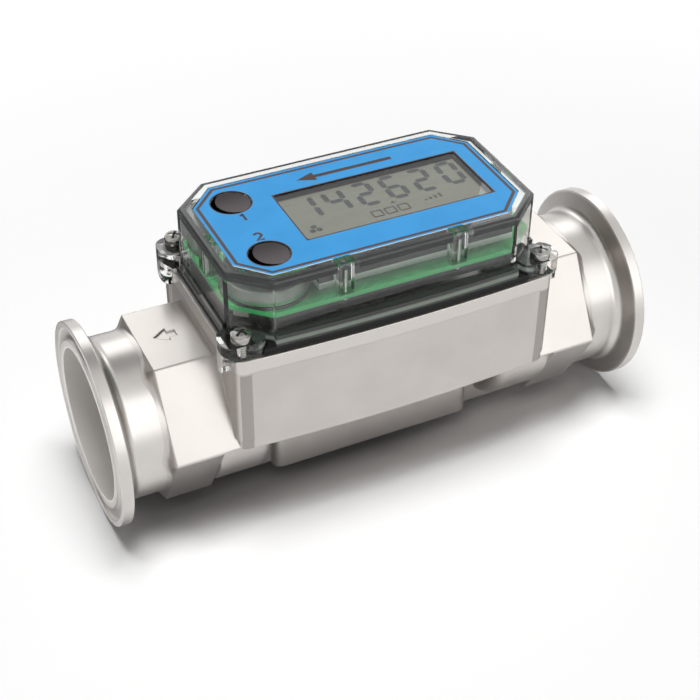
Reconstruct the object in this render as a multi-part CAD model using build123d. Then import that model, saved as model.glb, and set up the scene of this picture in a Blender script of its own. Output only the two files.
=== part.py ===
from build123d import *
import os
from math import atan, cos, degrees, pi, radians, sin, sqrt, tan

# Turbine flow meter with sanitary clamp ends and a battery computer under a clear cover.
# The flow tube lies along X with its middle at x = 0. Flow runs from +X (inlet) to -X (outlet).
# Each piece is modelled about the tube's axis, then lifted so that the ferrule rims stand on z = 0.

# Flow tube and clamp ends
overall_length = 177.8
ferrule_length = 14.1
rim_diameter = 64.0
rim_band = 3.4
rim_back_slope = 20.0
neck_diameter = 50.8
neck_bore_diameter = 47.5
neck_bore_depth = 20.0
neck_root_radius = 1.6
bore_lead_in = 0.4
groove_mean_diameter = 56.4
groove_width = 4.2
groove_depth = 1.5
reducer_length = 11.0
turbine_bore_diameter = 38.1
chamber_diameter = 37.2
chamber_length = 24.0

# Meter body casting
hex_across_flats = 51.0
hex_corner_length = 3.6
hex_end_slope = 35.0
hex_slope_sink = 0.3
hex_inner_reach = 4.5
hex_edge_radius = 1.0
barrel_diameter = 53.2
barrel_inner_x = 38.5
barrel_shoulder_radius = 4.5
tube_diameter = 43.0
block_length = 69.0
block_width = 28.8
block_depth = 27.4
block_corner_radius = 3.0
keel_reach = 1.5
keel_width = 21.8
keel_depth = 27.0
arrow_length = 7.0
arrow_shift = 1.2
arrow_barb_length = 4.5
arrow_barb_width = 6.2
arrow_shaft_width = 2.9
arrow_depth = 0.5

# Housing on top of the casting
housing_ledge = 1.75
housing_bow = 2.2
housing_corner_radius = 3.2
housing_wall = 3.0
housing_floor = 3.2
lip_below_board = 10.9
lip_height = 4.6
lip_overhang = 0.45
lip_bow = 1.85
coil_pad_diameter = 17.0
coil_pad_height = 2.4
coil_well_depth = 2.6

# Cover screws
screw_inset_x = 3.2
screw_inset_y = 3.4
screw_diameter = 3.4
screw_length = 15.0
screw_head_diameter = 6.1
screw_head_height = 3.1
screw_head_chamfer = 0.9
screw_clearance = 0.05
screw_hole_extra = 1.0
screw_cross_width = 1.0
screw_cross_length = 3.8
screw_cross_depth = 1.5
screw_post_diameter = 8.4

# Clear cover
cover_corner_angle = 42.88
cover_above_board = 11.8
cover_wall = 2.1
cover_plate = 2.5
cover_rim_radius = 1.3
foot_height = 5.3
foot_width = 2.0
foot_bow = 1.7
foot_corner_gap = 0.8
foot_corner_radius = 1.0
ear_length = 13.5
ear_width = 10.2
ear_corner_radius = 4.0
ear_skirt = 2.35
ear_skirt_drop = 5.7
ear_skirt_end = 3.0
ear_skirt_gap = 0.2
ear_skirt_corner_radius = 2.0
ear_height = 5.0
gasket_thickness = 1.7
gasket_inset = 0.8
gasket_ear_gap = 0.4

# Face label
label_margin_x = 4.2
label_margin_y = 3.95
label_corner_x = 8.3
label_corner_y = 8.7
label_thickness = 0.3
label_recess = 0.5
label_clearance = 0.2
window_shift = 0.5
window_margin_x = 1.2
window_width = 25.4
window_corner_radius = 1.0
window_frame_margin = 0.5

# Buttons and their switches
button_shift = 0.4
button_spacing = 29.0
button_hole_diameter = 13.3
button_clearance = 0.2
button_recess = 1.6
button_edge_chamfer = 0.3
button_flange_overlap = 0.9
button_flange_thickness = 0.6
button_lift_gap = 0.1
button_travel = 0.6
button_stop_gap = 0.15
dome_diameter = 8.0
dome_height = 0.6
switch_board_thickness = 0.6
switch_board_length = 19.4
switch_board_width = 42.0
switch_board_corner = 4.0
switch_board_gap = 0.8
spacer_diameter = 3.2
spacer_overlap = 3.0

# Circuit board and its screws
board_thickness = 1.6
board_clearance = 0.4
module_screw_x = (-16.2, 20.5)
module_screw_inset = 1.95
module_screw_diameter = 1.4
module_screw_head_diameter = 2.6
module_screw_head_height = 0.8
module_screw_length = 9.6
module_boss_diameter = 6.0
module_hole_clearance = 0.15
module_hole_extra = 0.3

# Display
display_length = 63.6
display_wall_gap = 7.05
display_width = 42.0
reflector_thickness = 2.2
frame_wall = 1.2
frame_plate = 1.0
frame_top_gap = 0.1
glass_thickness = 2.0
glass_side_gap = 0.3
glass_top_gap = 0.1
strip_end_gap = 1.2
glass_width = 33.0
strip_width = 2.4
strip_inset = 1.2

# Coin cells
cell_diameter = 24.5
cell_height = 5.0
cell_gap = 0.7
cell_wall_gap = 1.0
cell_side_gap = 1.5
cell_corner_gap = 0.09
cell_display_gap = 0.15
cell_lift = 1.0
cell_edge_chamfer = 0.4
cell_holder_shift = 1.0
cell_holder_gap = 0.15
contact_width = 5.0
contact_length = 17.0
contact_thickness = 0.3

# Electronics tray under the board
tray_length = 80.0
tray_width = 41.0
tray_depth = 7.4
tray_wall = 1.5
tray_corner_radius = 3.0
lead_hole_diameter = 3.0
chip_size = 12.0
chip_height = 1.4
chip_x = 22.0
crystal_length = 11.0
crystal_width = 4.6
crystal_height = 3.4
crystal_x = -12.0
crystal_y = 8.0
capacitor_diameter = 6.0
capacitor_height = 5.2
capacitor_x = -24.0
capacitor_y = (-8.0, 2.0)
terminal_length = 4.6
terminal_width = 3.4
terminal_height = 2.2
terminal_edge_gap = 0.6
terminal_shift = 3.5

# Pickup coil above the rotor
bobbin_diameter = 11.6
bobbin_height = 11.0
bobbin_flange = 1.0
bobbin_core_diameter = 5.2
winding_diameter = 10.2
core_diameter = 3.4
core_stand_out = 0.8
core_tray_gap = 2.0
coil_gap = 0.1
lead_diameter = 0.8
lead_spacing = 8.4

# Turbine cartridge
rotor_length = 14.0
rotor_hub_diameter = 15.0
rotor_tip_clearance = 0.5
blade_count = 8
blade_lead = 82.0
blade_root_thickness = 1.7
blade_tip_thickness = 1.1
blade_axial_length = 12.4
blade_root_embed = 1.2
blade_tip_excess = 1.0
blade_levels = 4
shaft_diameter = 2.4
shaft_length = 31.0
shaft_clearance = 0.04
shaft_end_gap = 0.4
shaft_chamfer = 0.3
bearing_diameter = 6.0
bearing_length = 8.0
bearing_thrust_gap = 0.25
bearing_stand_out = 0.6
magnet_diameter = 3.0
magnet_depth = 2.0
support_length = 15.0
support_ring_wall = 1.6
support_clearance = 0.04
support_hub_diameter = 14.0
support_nose_length = 9.0
nose_shoulder_length = 5.4
nose_shoulder_radius = 5.0
vane_count = 4
vane_thickness = 1.5
vane_edge_radius = 0.6
vane_end_gap = 0.5
vane_embed = 0.6
ring_thickness = 1.4
ring_width = 2.4
ring_groove_depth = 0.9
ring_side_gap = 0.05
ring_opening = 40.0
ring_lug_diameter = 4.2
ring_lug_hole = 1.6
ring_lug_turn = 6.0
ring_lug_inset = 1.0

# Values worked out from the sizes above
face_x = overall_length / 2
hex_end_x = face_x - ferrule_length
hex_corner_x = hex_end_x - hex_corner_length
rim_radius = rim_diameter / 2
neck_radius = neck_diameter / 2
neck_bore_radius = neck_bore_diameter / 2
turbine_bore_radius = turbine_bore_diameter / 2
chamber_radius = chamber_diameter / 2
barrel_radius = barrel_diameter / 2
tube_radius = tube_diameter / 2
hex_radius = hex_across_flats / sqrt(3)
ring_radius = turbine_bore_radius + ring_groove_depth - ring_side_gap
support_inner_x = chamber_length / 2
support_outer_x = support_inner_x + support_length
ring_x = support_outer_x + ring_side_gap
cell_radius = cell_diameter / 2
cell_spacing = cell_diameter + cell_gap
cell_row = cell_wall_gap + cell_diameter + cell_display_gap
cover_length = 2 * cover_wall + cell_row + display_length + display_wall_gap
cover_width = 2 * (cover_wall + cell_side_gap) + cell_spacing + cell_diameter
cell_x = cell_wall_gap + cover_wall + cell_radius - cover_length / 2
display_center_x = cell_x + cell_radius + cell_display_gap + display_length / 2
window_center_x = display_center_x - window_shift
window_length = display_length - 2 * window_margin_x
button_x = cell_x + button_shift
label_length = cover_length - 2 * label_margin_x
label_width = cover_width - 2 * label_margin_y
housing_length = cover_length + 2 * housing_ledge
housing_end_width = cover_width + 2 * housing_ledge
hex_inner_x = housing_length / 2 + hex_inner_reach
keel_length = housing_length + 2 * keel_reach
screw_spacing_x = housing_length - 2 * screw_inset_x
screw_spacing_y = housing_end_width - 2 * screw_inset_y
coil_pad_z = tube_radius + coil_pad_height
coil_base_z = coil_pad_z - coil_well_depth
core_top_z = coil_base_z + bobbin_height + core_stand_out
board_bottom_z = core_top_z + core_tray_gap + tray_depth
board_top_z = board_bottom_z + board_thickness
lip_top_z = board_top_z - lip_below_board
foot_top_z = lip_top_z + foot_height
ear_top_z = lip_top_z + ear_height
cover_base_z = lip_top_z + gasket_thickness
cover_top_z = board_top_z + cover_above_board
plate_bottom_z = cover_top_z - cover_plate
button_flange_top_z = plate_bottom_z - button_lift_gap
button_bottom_z = button_flange_top_z - button_flange_thickness
switch_board_top_z = button_bottom_z - button_travel - button_stop_gap - dome_height
switch_board_x = display_center_x - display_length / 2 - switch_board_gap - switch_board_length / 2
cell_bottom_z = board_top_z + cell_lift
frame_bottom_z = board_top_z + reflector_thickness
frame_top_z = plate_bottom_z - frame_top_gap
glass_top_z = frame_top_z - frame_plate - glass_top_gap

# The cover's corners are cut off so close that its wall just clears the coin cells.
corner_sine = sin(radians(cover_corner_angle))
corner_cosine = cos(radians(cover_corner_angle))
corner_to_cell = corner_sine * (cover_length / 2 + cell_x) + corner_cosine * (cover_width - cell_spacing) / 2
corner_height = corner_to_cell - cell_radius - cell_corner_gap - cover_wall
cover_corner_x = corner_height / corner_sine
cover_corner_y = corner_height / corner_cosine


def tube_between(radius, x_from, x_to):
    """A round bar along X."""
    middle = Pos((x_from + x_to) / 2, 0, 0)
    return middle * Rot(0, 90, 0) * Cylinder(radius, abs(x_to - x_from))


def turned(profile):
    """A face drawn in the XZ plane (z = radius), turned about the tube's axis."""
    return revolve(profile, Axis.X, 360)


def profile_face(*lines):
    """A face in the XZ plane bounded by the given lines."""
    return make_face([edge for line in lines for edge in line.edges()])


def at_corners(spacing_x, spacing_y):
    """The four places of a rectangular pattern."""
    return GridLocations(spacing_x, spacing_y, 2, 2)


def raised(sketch, z_from, z_to):
    """A flat outline carried from one height to another."""
    return Pos(0, 0, z_from) * extrude(sketch, z_to - z_from)


def octagon(length, width, corner_x, corner_y):
    """A rectangle with its four corners cut off."""
    half_x = length / 2
    half_y = width / 2
    cut_x = half_x - corner_x
    cut_y = half_y - corner_y
    quarter = [(cut_x, half_y), (half_x, cut_y)]
    right = quarter + [(x, -y) for x, y in reversed(quarter)]
    left = [(-x, -y) for x, y in right]
    return make_face(Polyline(*right, *left, close=True))


def inset_octagon(inset):
    """The cover's outline moved inwards by one distance on all eight sides."""
    return offset(octagon(cover_length, cover_width, cover_corner_x, cover_corner_y), -inset)


def bowed_rectangle(length, end_width, bow, corner_radius):
    """A rectangle whose long sides swell outwards by the bow at mid length."""
    half_x = length / 2
    half_y = end_width / 2
    outline = Wire([
        ThreePointArc((-half_x, -half_y), (0, -half_y - bow), (half_x, -half_y)),
        Line((half_x, -half_y), (half_x, half_y)),
        ThreePointArc((half_x, half_y), (0, half_y + bow), (-half_x, half_y)),
        Line((-half_x, half_y), (-half_x, -half_y)),
    ])
    face = make_face(outline)
    return fillet(face.vertices(), corner_radius)


def hexagon_outline(radius, x):
    """A hexagon across the flow axis, with flats above and below and rounded corners."""
    hexagon = RegularPolygon(radius, 6)
    return Pos(x, 0, 0) * (Plane.YZ * fillet(hexagon.vertices(), hex_edge_radius))


def hexagon_bar(x_from, x_to):
    """Hexagonal bar along X with flats above and below."""
    return extrude(hexagon_outline(hex_radius, x_from), x_to - x_from)


def hexagon_end():
    """The +X hexagon, with six faces that slope down to the neck beyond its straight end edges."""
    low_radius = neck_radius - hex_slope_sink
    low_x = hex_corner_x + (hex_radius - low_radius) * tan(radians(hex_end_slope))
    outer = hexagon_bar(hex_inner_x, hex_corner_x)
    outer = outer + loft([hexagon_outline(hex_radius, hex_corner_x), hexagon_outline(low_radius, low_x)])
    outer = outer + tube_between(neck_radius, hex_inner_x, hex_end_x)
    upper_half = Pos(0, 0, hex_radius / 2) * Box(2 * face_x, 2 * hex_radius, hex_radius)
    into_housing = hexagon_bar(barrel_inner_x + barrel_shoulder_radius, hex_inner_x) & upper_half
    return outer + into_housing


def barrel_end():
    """The +X half barrel under the housing, with its rounded inner shoulder."""
    barrel = tube_between(barrel_radius, barrel_inner_x, hex_inner_x)
    shoulder = barrel.edges().filter_by(GeomType.CIRCLE).sort_by(Axis.X)[0]
    half_space = Box(2 * face_x, barrel_diameter, barrel_diameter)
    lower_half = Pos(0, 0, housing_floor - barrel_radius) * half_space
    return fillet(shoulder, barrel_shoulder_radius) & lower_half


def flow_bore():
    """The bore from end to end: neck, reducer, turbine bore, rotor chamber and ring grooves."""
    reducer_x = face_x - neck_bore_depth
    half = turned(profile_face(
        Polyline(
            (0, 0, 0), (0, 0, chamber_radius), (support_inner_x, 0, chamber_radius),
            (support_inner_x, 0, turbine_bore_radius),
            (reducer_x - reducer_length, 0, turbine_bore_radius), (reducer_x, 0, neck_bore_radius),
            (face_x + 1, 0, neck_bore_radius), (face_x + 1, 0, 0), close=True,
        ),
    ))
    groove_end_x = support_outer_x + ring_thickness + 2 * ring_side_gap
    groove = tube_between(ring_radius + ring_side_gap, support_outer_x, groove_end_x)
    half = half + groove
    return half + mirror(half, Plane.YZ)


def housing():
    """The rectangular tub with bowed walls, its lip and its screw posts."""
    wall_outline = bowed_rectangle(housing_length, housing_end_width, housing_bow, housing_corner_radius)
    lip_outline = bowed_rectangle(
        housing_length + 2 * lip_overhang, housing_end_width + 2 * lip_overhang, lip_bow,
        housing_corner_radius + lip_overhang,
    )
    pocket_outline = bowed_rectangle(
        housing_length - 2 * housing_wall, housing_end_width - 2 * housing_wall, housing_bow,
        housing_corner_radius / 2,
    )
    tub = raised(wall_outline, 0, lip_top_z) + raised(lip_outline, lip_top_z - lip_height, lip_top_z)
    tub = tub - raised(pocket_outline, housing_floor, lip_top_z + 1)
    post_height = lip_top_z - housing_floor
    posts = [
        place * Pos(0, 0, housing_floor + post_height / 2) * Cylinder(screw_post_diameter / 2, post_height)
        for place in at_corners(screw_spacing_x, screw_spacing_y)
    ]
    posts = [post & raised(lip_outline, 0, lip_top_z) for post in posts]
    for post in posts:
        tub = tub + post
    return tub


def lower_block():
    """The block and keel under the tube."""
    block = Pos(0, 0, -block_depth / 2) * Box(block_length, block_width, block_depth)
    block = fillet(block.edges().filter_by(Axis.Z), block_corner_radius)
    keel = Pos(0, 0, -keel_depth / 2) * Box(keel_length, keel_width, keel_depth)
    return block + keel


def flow_arrow():
    """The arrow cut into the top of the outlet hexagon, pointing with the flow."""
    barb = arrow_barb_width / 2
    shaft = arrow_shaft_width / 2
    tip_x = (housing_length / 2 + hex_corner_x + arrow_length) / 2 + arrow_shift
    barb_x = tip_x - arrow_barb_length
    tail_x = tip_x - arrow_length
    half = [(-tip_x, 0), (-barb_x, barb), (-barb_x, shaft), (-tail_x, shaft)]
    outline = half + [(x, -y) for x, y in reversed(half[1:])]
    arrow = make_face(Polyline(*outline, close=True))
    return raised(arrow, hex_across_flats / 2 - arrow_depth, hex_radius)


def meter_body():
    """The stainless casting."""
    end = hexagon_end() + barrel_end()
    pad = Pos(0, 0, coil_pad_z / 2) * Cylinder(coil_pad_diameter / 2, coil_pad_z)
    body = tube_between(tube_radius, -hex_inner_x, hex_inner_x) + end + mirror(end, Plane.YZ)
    body = body + housing() + lower_block() + pad
    body = body - flow_bore() - flow_arrow()
    well_radius = bobbin_diameter / 2 + coil_gap
    body = body - raised(Circle(well_radius), coil_base_z, coil_pad_z + 1)
    hole_depth = screw_length - (ear_top_z - lip_top_z) + screw_hole_extra
    hole = Cylinder(screw_diameter / 2 + screw_clearance, hole_depth)
    for place in at_corners(screw_spacing_x, screw_spacing_y):
        body = body - place * Pos(0, 0, lip_top_z - hole_depth / 2) * hole
    return body


def ferrule():
    """The +X clamp ferrule: neck, sloping flange back, rim band and grooved face."""
    slope_run = (rim_radius - neck_radius) * tan(radians(rim_back_slope))
    rim_back_x = face_x - rim_band
    groove_in = groove_mean_diameter / 2 - groove_width / 2
    groove_out = groove_mean_diameter / 2 + groove_width / 2
    bottom = (face_x - groove_depth, 0, groove_mean_diameter / 2)
    face_line = [
        Line((face_x, 0, rim_radius), (face_x, 0, groove_out)),
        ThreePointArc((face_x, 0, groove_out), bottom, (face_x, 0, groove_in)),
        Line((face_x, 0, groove_in), (face_x, 0, neck_bore_radius + bore_lead_in)),
    ]
    rest = Polyline(
        (face_x, 0, neck_bore_radius + bore_lead_in), (face_x - bore_lead_in, 0, neck_bore_radius),
        (hex_end_x, 0, neck_bore_radius), (hex_end_x, 0, neck_radius),
        (rim_back_x - slope_run, 0, neck_radius), (rim_back_x, 0, rim_radius), (face_x, 0, rim_radius),
    )
    solid = turned(profile_face(*face_line, *rest.edges()))
    root = solid.edges().filter_by(GeomType.CIRCLE).sort_by(
        lambda edge: abs(edge.radius - neck_radius) + abs(edge.arc_center.X - rim_back_x + slope_run)
    )[0]
    return fillet(root, neck_root_radius)


def support():
    """The +X support: ring, straightening vanes and a hub with a bullet nose outwards."""
    ring_outer = turbine_bore_radius - support_clearance
    ring = tube_between(ring_outer, support_inner_x, support_outer_x)
    ring = ring - tube_between(ring_outer - support_ring_wall, support_inner_x - 1, support_outer_x + 1)
    hub_radius = support_hub_diameter / 2
    hub_start = rotor_length / 2 + bearing_thrust_gap + bearing_stand_out
    nose_end = support_outer_x + support_nose_length
    hub = turned(profile_face(
        Line((hub_start, 0, 0), (hub_start, 0, hub_radius)),
        Line((hub_start, 0, hub_radius), (support_outer_x, 0, hub_radius)),
        Spline(
            (support_outer_x, 0, hub_radius),
            (support_outer_x + nose_shoulder_length, 0, nose_shoulder_radius),
            (nose_end, 0, 0),
            tangents=[(1, 0, 0), (0, 0, -1)],
        ),
        Line((nose_end, 0, 0), (hub_start, 0, 0)),
    ))
    vane_inner = hub_radius - vane_embed
    vane_outer = ring_outer - support_ring_wall + vane_embed
    vane_middle = Pos((support_inner_x + support_outer_x) / 2, 0, (vane_inner + vane_outer) / 2)
    vane = vane_middle * Box(support_length - 2 * vane_end_gap, vane_thickness, vane_outer - vane_inner)
    vane = fillet(vane.edges().filter_by(Axis.Z), vane_edge_radius)
    piece = ring + hub
    pitch = 360 / vane_count
    for step in range(vane_count):
        piece = piece + Rot(pitch * step + pitch / 2, 0, 0) * vane
    bearing_start = rotor_length / 2 + bearing_thrust_gap
    bearing_end = bearing_start + bearing_length
    shaft_pocket_end = shaft_length / 2 + shaft_end_gap
    piece = piece - tube_between(bearing_diameter / 2, bearing_start - 1, bearing_end)
    return piece - tube_between(shaft_diameter / 2 + shaft_end_gap, bearing_end - 1, shaft_pocket_end)


def bearing():
    """The +X ceramic sleeve that the shaft runs in."""
    start = rotor_length / 2 + bearing_thrust_gap
    sleeve = tube_between(bearing_diameter / 2, start, start + bearing_length)
    return sleeve - tube_between(shaft_diameter / 2 + shaft_clearance, start - 1, start + bearing_length + 1)


def retaining_ring():
    """The +X internal snap ring, open at the top between two lugs with tool holes."""
    outer = Circle(ring_radius)
    inner = Circle(ring_radius - ring_width)
    half_gap = radians(ring_opening / 2)
    reach = ring_radius * 2
    opening = make_face(Polyline(
        (0, 0), (-reach * tan(half_gap), reach), (reach * tan(half_gap), reach), close=True,
    ))
    lug_ring_radius = ring_radius - ring_lug_diameter / 2 - ring_lug_inset
    outline = outer - inner - opening
    for side in (-1, 1):
        lug = Rot(0, 0, side * (ring_opening / 2 + ring_lug_turn)) * Pos(0, lug_ring_radius, 0)
        outline = outline + lug * Circle(ring_lug_diameter / 2) - lug * Circle(ring_lug_hole / 2)
    upright = Rot(0, 0, 90) * outline
    return Pos(ring_x, 0, 0) * extrude(Plane.YZ * Rot(0, 0, -90) * upright, ring_thickness)


def blade():
    """One helical blade standing up along Z, its angle growing with the radius as the helix does."""
    tip_radius = chamber_radius - rotor_tip_clearance
    hub_radius = rotor_hub_diameter / 2
    inner = hub_radius - blade_root_embed
    outer = tip_radius + blade_tip_excess
    sections = []
    for level in range(blade_levels):
        share = level / (blade_levels - 1)
        radius = inner + (outer - inner) * share
        helix_angle = atan(2 * pi * radius / blade_lead)
        chord = blade_axial_length / cos(helix_angle)
        thickness = blade_root_thickness + (blade_tip_thickness - blade_root_thickness) * share
        strip = Rot(0, 0, degrees(helix_angle)) * Rectangle(chord, thickness)
        sections.append(Pos(0, 0, radius) * strip)
    return loft(sections)


def turbine_rotor():
    """Hub with its helical blades, turned down to the tip radius and the hub's length."""
    tip_radius = chamber_radius - rotor_tip_clearance
    half = rotor_length / 2
    rotor = tube_between(rotor_hub_diameter / 2, -half, half)
    one_blade = blade() & tube_between(tip_radius, -half, half)
    for step in range(blade_count):
        rotor = rotor + Rot(360 / blade_count * step, 0, 0) * one_blade
    rotor = rotor - tube_between(shaft_diameter / 2, -half - 1, half + 1)
    for turn in (0, 180):
        rotor = rotor - Rot(magnet_angle() + turn, 0, 0) * magnet_blank()
    return rotor


def magnet_angle():
    """The magnets lie between two blades at each side."""
    return 360 / blade_count / 2


def magnet_blank():
    """A disc magnet just under the hub's surface, its axis along the radius."""
    hub_radius = rotor_hub_diameter / 2
    return Pos(0, 0, hub_radius - magnet_depth / 2) * Cylinder(magnet_diameter / 2, magnet_depth)


def rotor_magnets():
    """Two magnets, one at each side of the hub, trimmed flush with it."""
    hub = tube_between(rotor_hub_diameter / 2, -rotor_length / 2, rotor_length / 2)
    trimmed = magnet_blank() & hub
    return Compound([Rot(magnet_angle() + turn, 0, 0) * trimmed for turn in (0, 180)])


def rotor_shaft():
    """The carbide shaft with its chamfered ends."""
    shaft = tube_between(shaft_diameter / 2, -shaft_length / 2, shaft_length / 2)
    return chamfer(shaft.edges().filter_by(GeomType.CIRCLE), shaft_chamfer)


def coil_bobbin():
    """The plastic spool of the pickup coil."""
    radius = bobbin_diameter / 2
    spool = raised(Circle(bobbin_core_diameter / 2), coil_base_z, coil_base_z + bobbin_height)
    spool = spool + raised(Circle(radius), coil_base_z, coil_base_z + bobbin_flange)
    top = coil_base_z + bobbin_height
    spool = spool + raised(Circle(radius), top - bobbin_flange, top)
    return spool - raised(Circle(core_diameter / 2), coil_base_z - 1, top + 1)


def coil_winding():
    """The copper winding between the spool's flanges."""
    ring = Circle(winding_diameter / 2) - Circle(bobbin_core_diameter / 2)
    return raised(ring, coil_base_z + bobbin_flange, coil_base_z + bobbin_height - bobbin_flange)


def coil_core():
    """The iron core through the spool."""
    return raised(Circle(core_diameter / 2), coil_base_z, coil_base_z + bobbin_height + core_stand_out)


def coil_leads():
    """Two leads from the spool's top flange up to the board."""
    start = coil_base_z + bobbin_height
    lead = raised(Circle(lead_diameter / 2), start, board_bottom_z)
    return Compound([Pos(side * lead_spacing / 2, 0, 0) * lead for side in (-1, 1)])


def ear_outline(grow=0.0):
    """The cover's four corner ears, seen from above."""
    reach_x = housing_length / 2 + lip_overhang + ear_skirt_gap + ear_skirt
    reach_y = housing_end_width / 2
    plate = Rectangle(ear_length + 2 * grow, ear_width + 2 * grow)
    plate = fillet(plate.vertices(), ear_corner_radius + grow)
    spacing_x = 2 * reach_x - ear_length
    spacing_y = 2 * reach_y - ear_width
    return [place * plate for place in at_corners(spacing_x, spacing_y)]


def foot_bars():
    """The bowed bars along the cover's foot, between the ears."""
    flat_x = cover_length - 2 * cover_corner_x
    flat_y = cover_width - 2 * cover_corner_y
    outer = bowed_rectangle(
        cover_length + foot_width, cover_width + foot_width, foot_bow, foot_corner_radius,
    )
    long_side = Rectangle(flat_x + foot_corner_gap, cover_width + 4 * foot_width)
    short_side = Rectangle(cover_length + 4 * foot_width, flat_y + foot_corner_gap)
    return (outer & long_side) + (outer & short_side)


def cover_gasket():
    """The flat gasket between the lip and the cover's wall, passing inside the ears."""
    outer = bowed_rectangle(
        housing_length - 2 * gasket_inset, housing_end_width - 2 * gasket_inset, lip_bow,
        housing_corner_radius,
    )
    ring = outer - inset_octagon(cover_wall)
    for ear in ear_outline(gasket_ear_gap):
        ring = ring - (ear - inset_octagon(gasket_ear_gap))
    return raised(ring, lip_top_z, cover_base_z)


def module_screw_places():
    """Where the board is screwed up into the cover: twice at the front and back, once at each end."""
    end_x = cover_length / 2 - cover_wall - module_screw_inset
    side_y = cover_width / 2 - cover_wall - module_screw_inset
    ends = [Pos(side * end_x, 0, 0) for side in (-1, 1)]
    return ends + [Pos(x, side * side_y, 0) for x in module_screw_x for side in (-1, 1)]


def computer_cover():
    """The clear moulded cover: octagonal wall, top plate, foot, ears and inner bosses."""
    outline = octagon(cover_length, cover_width, cover_corner_x, cover_corner_y)
    shell = raised(outline, cover_base_z, cover_top_z)
    shell = fillet(shell.edges().group_by(Axis.Z)[-1], cover_rim_radius)
    inside = raised(inset_octagon(cover_wall), cover_base_z - 1, plate_bottom_z)
    shell = shell + raised(foot_bars(), cover_base_z, foot_top_z)
    lip_length = housing_length + 2 * (lip_overhang + ear_skirt_gap)
    below_lip = raised(Rectangle(lip_length, 2 * housing_end_width), lip_top_z - 2 * lip_height, lip_top_z)
    skirt_bottom_z = lip_top_z - ear_skirt_drop
    skirt_width = housing_end_width - 2 * ear_skirt_end
    skirt_span = Pos(0, 0, skirt_bottom_z + lip_height) * Box(2 * face_x, skirt_width, 2 * lip_height)
    skirt_span = fillet(skirt_span.edges().filter_by(Axis.X), ear_skirt_corner_radius)
    for ear in ear_outline():
        shell = shell + raised(ear, cover_base_z, ear_top_z)
        shell = shell + raised(ear - outline, lip_top_z, cover_base_z)
        shell = shell + ((raised(ear, skirt_bottom_z, lip_top_z) & skirt_span) - below_lip)
    shell = shell - inside
    boss = raised(Circle(module_boss_diameter / 2), board_top_z, plate_bottom_z)
    bosses = [place * boss & raised(outline, cover_base_z, cover_top_z) for place in module_screw_places()]
    for piece in bosses:
        shell = shell + piece
    label_place = offset(label_outline(), label_clearance)
    shell = shell - raised(label_place, cover_top_z - label_recess, cover_top_z + 1)
    shell = shell - button_openings(0)
    for place in module_screw_places():
        hole_top = board_bottom_z + module_screw_length + module_hole_extra
        hole = raised(Circle(module_screw_diameter / 2 + module_hole_clearance), board_top_z - 1, hole_top)
        shell = shell - place * hole
    for place in at_corners(screw_spacing_x, screw_spacing_y):
        shell = shell - place * raised(Circle(screw_diameter / 2 + 2 * screw_clearance), 0, ear_top_z + 1)
    return shell


def label_outline():
    """The label's eight-sided outline."""
    return octagon(label_length, label_width, label_corner_x, label_corner_y)


def button_openings(grow):
    """The two round openings over the buttons."""
    hole = raised(Circle(button_hole_diameter / 2 + grow), plate_bottom_z - 1, cover_top_z + 1)
    return Compound([Pos(button_x, side * button_spacing / 2, 0) * hole for side in (-1, 1)])


def face_label():
    """The printed face plate in the cover's recess."""
    base = cover_top_z - label_recess
    plate = raised(label_outline(), base, base + label_thickness)
    window = Pos(window_center_x, 0, 0) * RectangleRounded(
        window_length, window_width, window_corner_radius,
    )
    return plate - raised(window, base - 1, base + 1) - button_openings(label_clearance)


def button(side):
    """A round push button: a cap in the cover's hole and a flange that stops it from below."""
    cap_radius = button_hole_diameter / 2 - button_clearance
    cap = raised(Circle(cap_radius), button_bottom_z, cover_top_z - button_recess)
    cap = chamfer(cap.edges().group_by(Axis.Z)[-1], button_edge_chamfer)
    flange_radius = button_hole_diameter / 2 + button_flange_overlap
    flange = raised(Circle(flange_radius), button_bottom_z, button_flange_top_z)
    return Pos(button_x, side * button_spacing / 2, 0) * (cap + flange)


def switch_domes():
    """The metal snap domes under the buttons."""
    radius = dome_diameter / 2
    sphere_radius = (radius ** 2 + dome_height ** 2) / (2 * dome_height)
    ball = Pos(0, 0, dome_height - sphere_radius) * Sphere(sphere_radius)
    dome = ball & raised(Circle(radius + 1), 0, dome_height)
    return Compound([
        Pos(button_x, side * button_spacing / 2, switch_board_top_z) * dome for side in (-1, 1)
    ])


def switch_board():
    """The small board that carries the domes above the cells."""
    plate = Pos(switch_board_x, 0, 0) * RectangleRounded(
        switch_board_length, switch_board_width, switch_board_corner,
    )
    return raised(plate, switch_board_top_z - switch_board_thickness, switch_board_top_z)


def spacer_places():
    """The two spacers stand on the middle line, in the corners that the round cells leave."""
    reach = switch_board_length / 2 + spacer_diameter / 2 - spacer_overlap
    return [switch_board_x - reach, switch_board_x + reach]


def board_spacers():
    """Spacers between the circuit board and the switch board."""
    post = raised(Circle(spacer_diameter / 2), board_top_z, switch_board_top_z - switch_board_thickness)
    return Compound([Pos(x, 0, 0) * post for x in spacer_places()])


def circuit_board():
    """The eight-sided circuit board, drilled for its screws."""
    board = raised(inset_octagon(cover_wall + board_clearance), board_bottom_z, board_top_z)
    hole_radius = module_screw_diameter / 2 + module_hole_clearance
    for place in module_screw_places():
        board = board - place * raised(Circle(hole_radius), board_bottom_z - 1, board_top_z + 1)
    return board


def module_screws():
    """The six slim screws that hold the board up against the cover's bosses."""
    shank = raised(Circle(module_screw_diameter / 2), board_bottom_z, board_bottom_z + module_screw_length)
    head_bottom_z = board_bottom_z - module_screw_head_height
    head = raised(Circle(module_screw_head_diameter / 2), head_bottom_z, board_bottom_z)
    return Compound([place * (shank + head) for place in module_screw_places()])


def display_outline(inset):
    """The display's rectangle, moved inwards by the given distance."""
    return Pos(display_center_x, 0, 0) * Rectangle(display_length - 2 * inset, display_width - 2 * inset)


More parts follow.
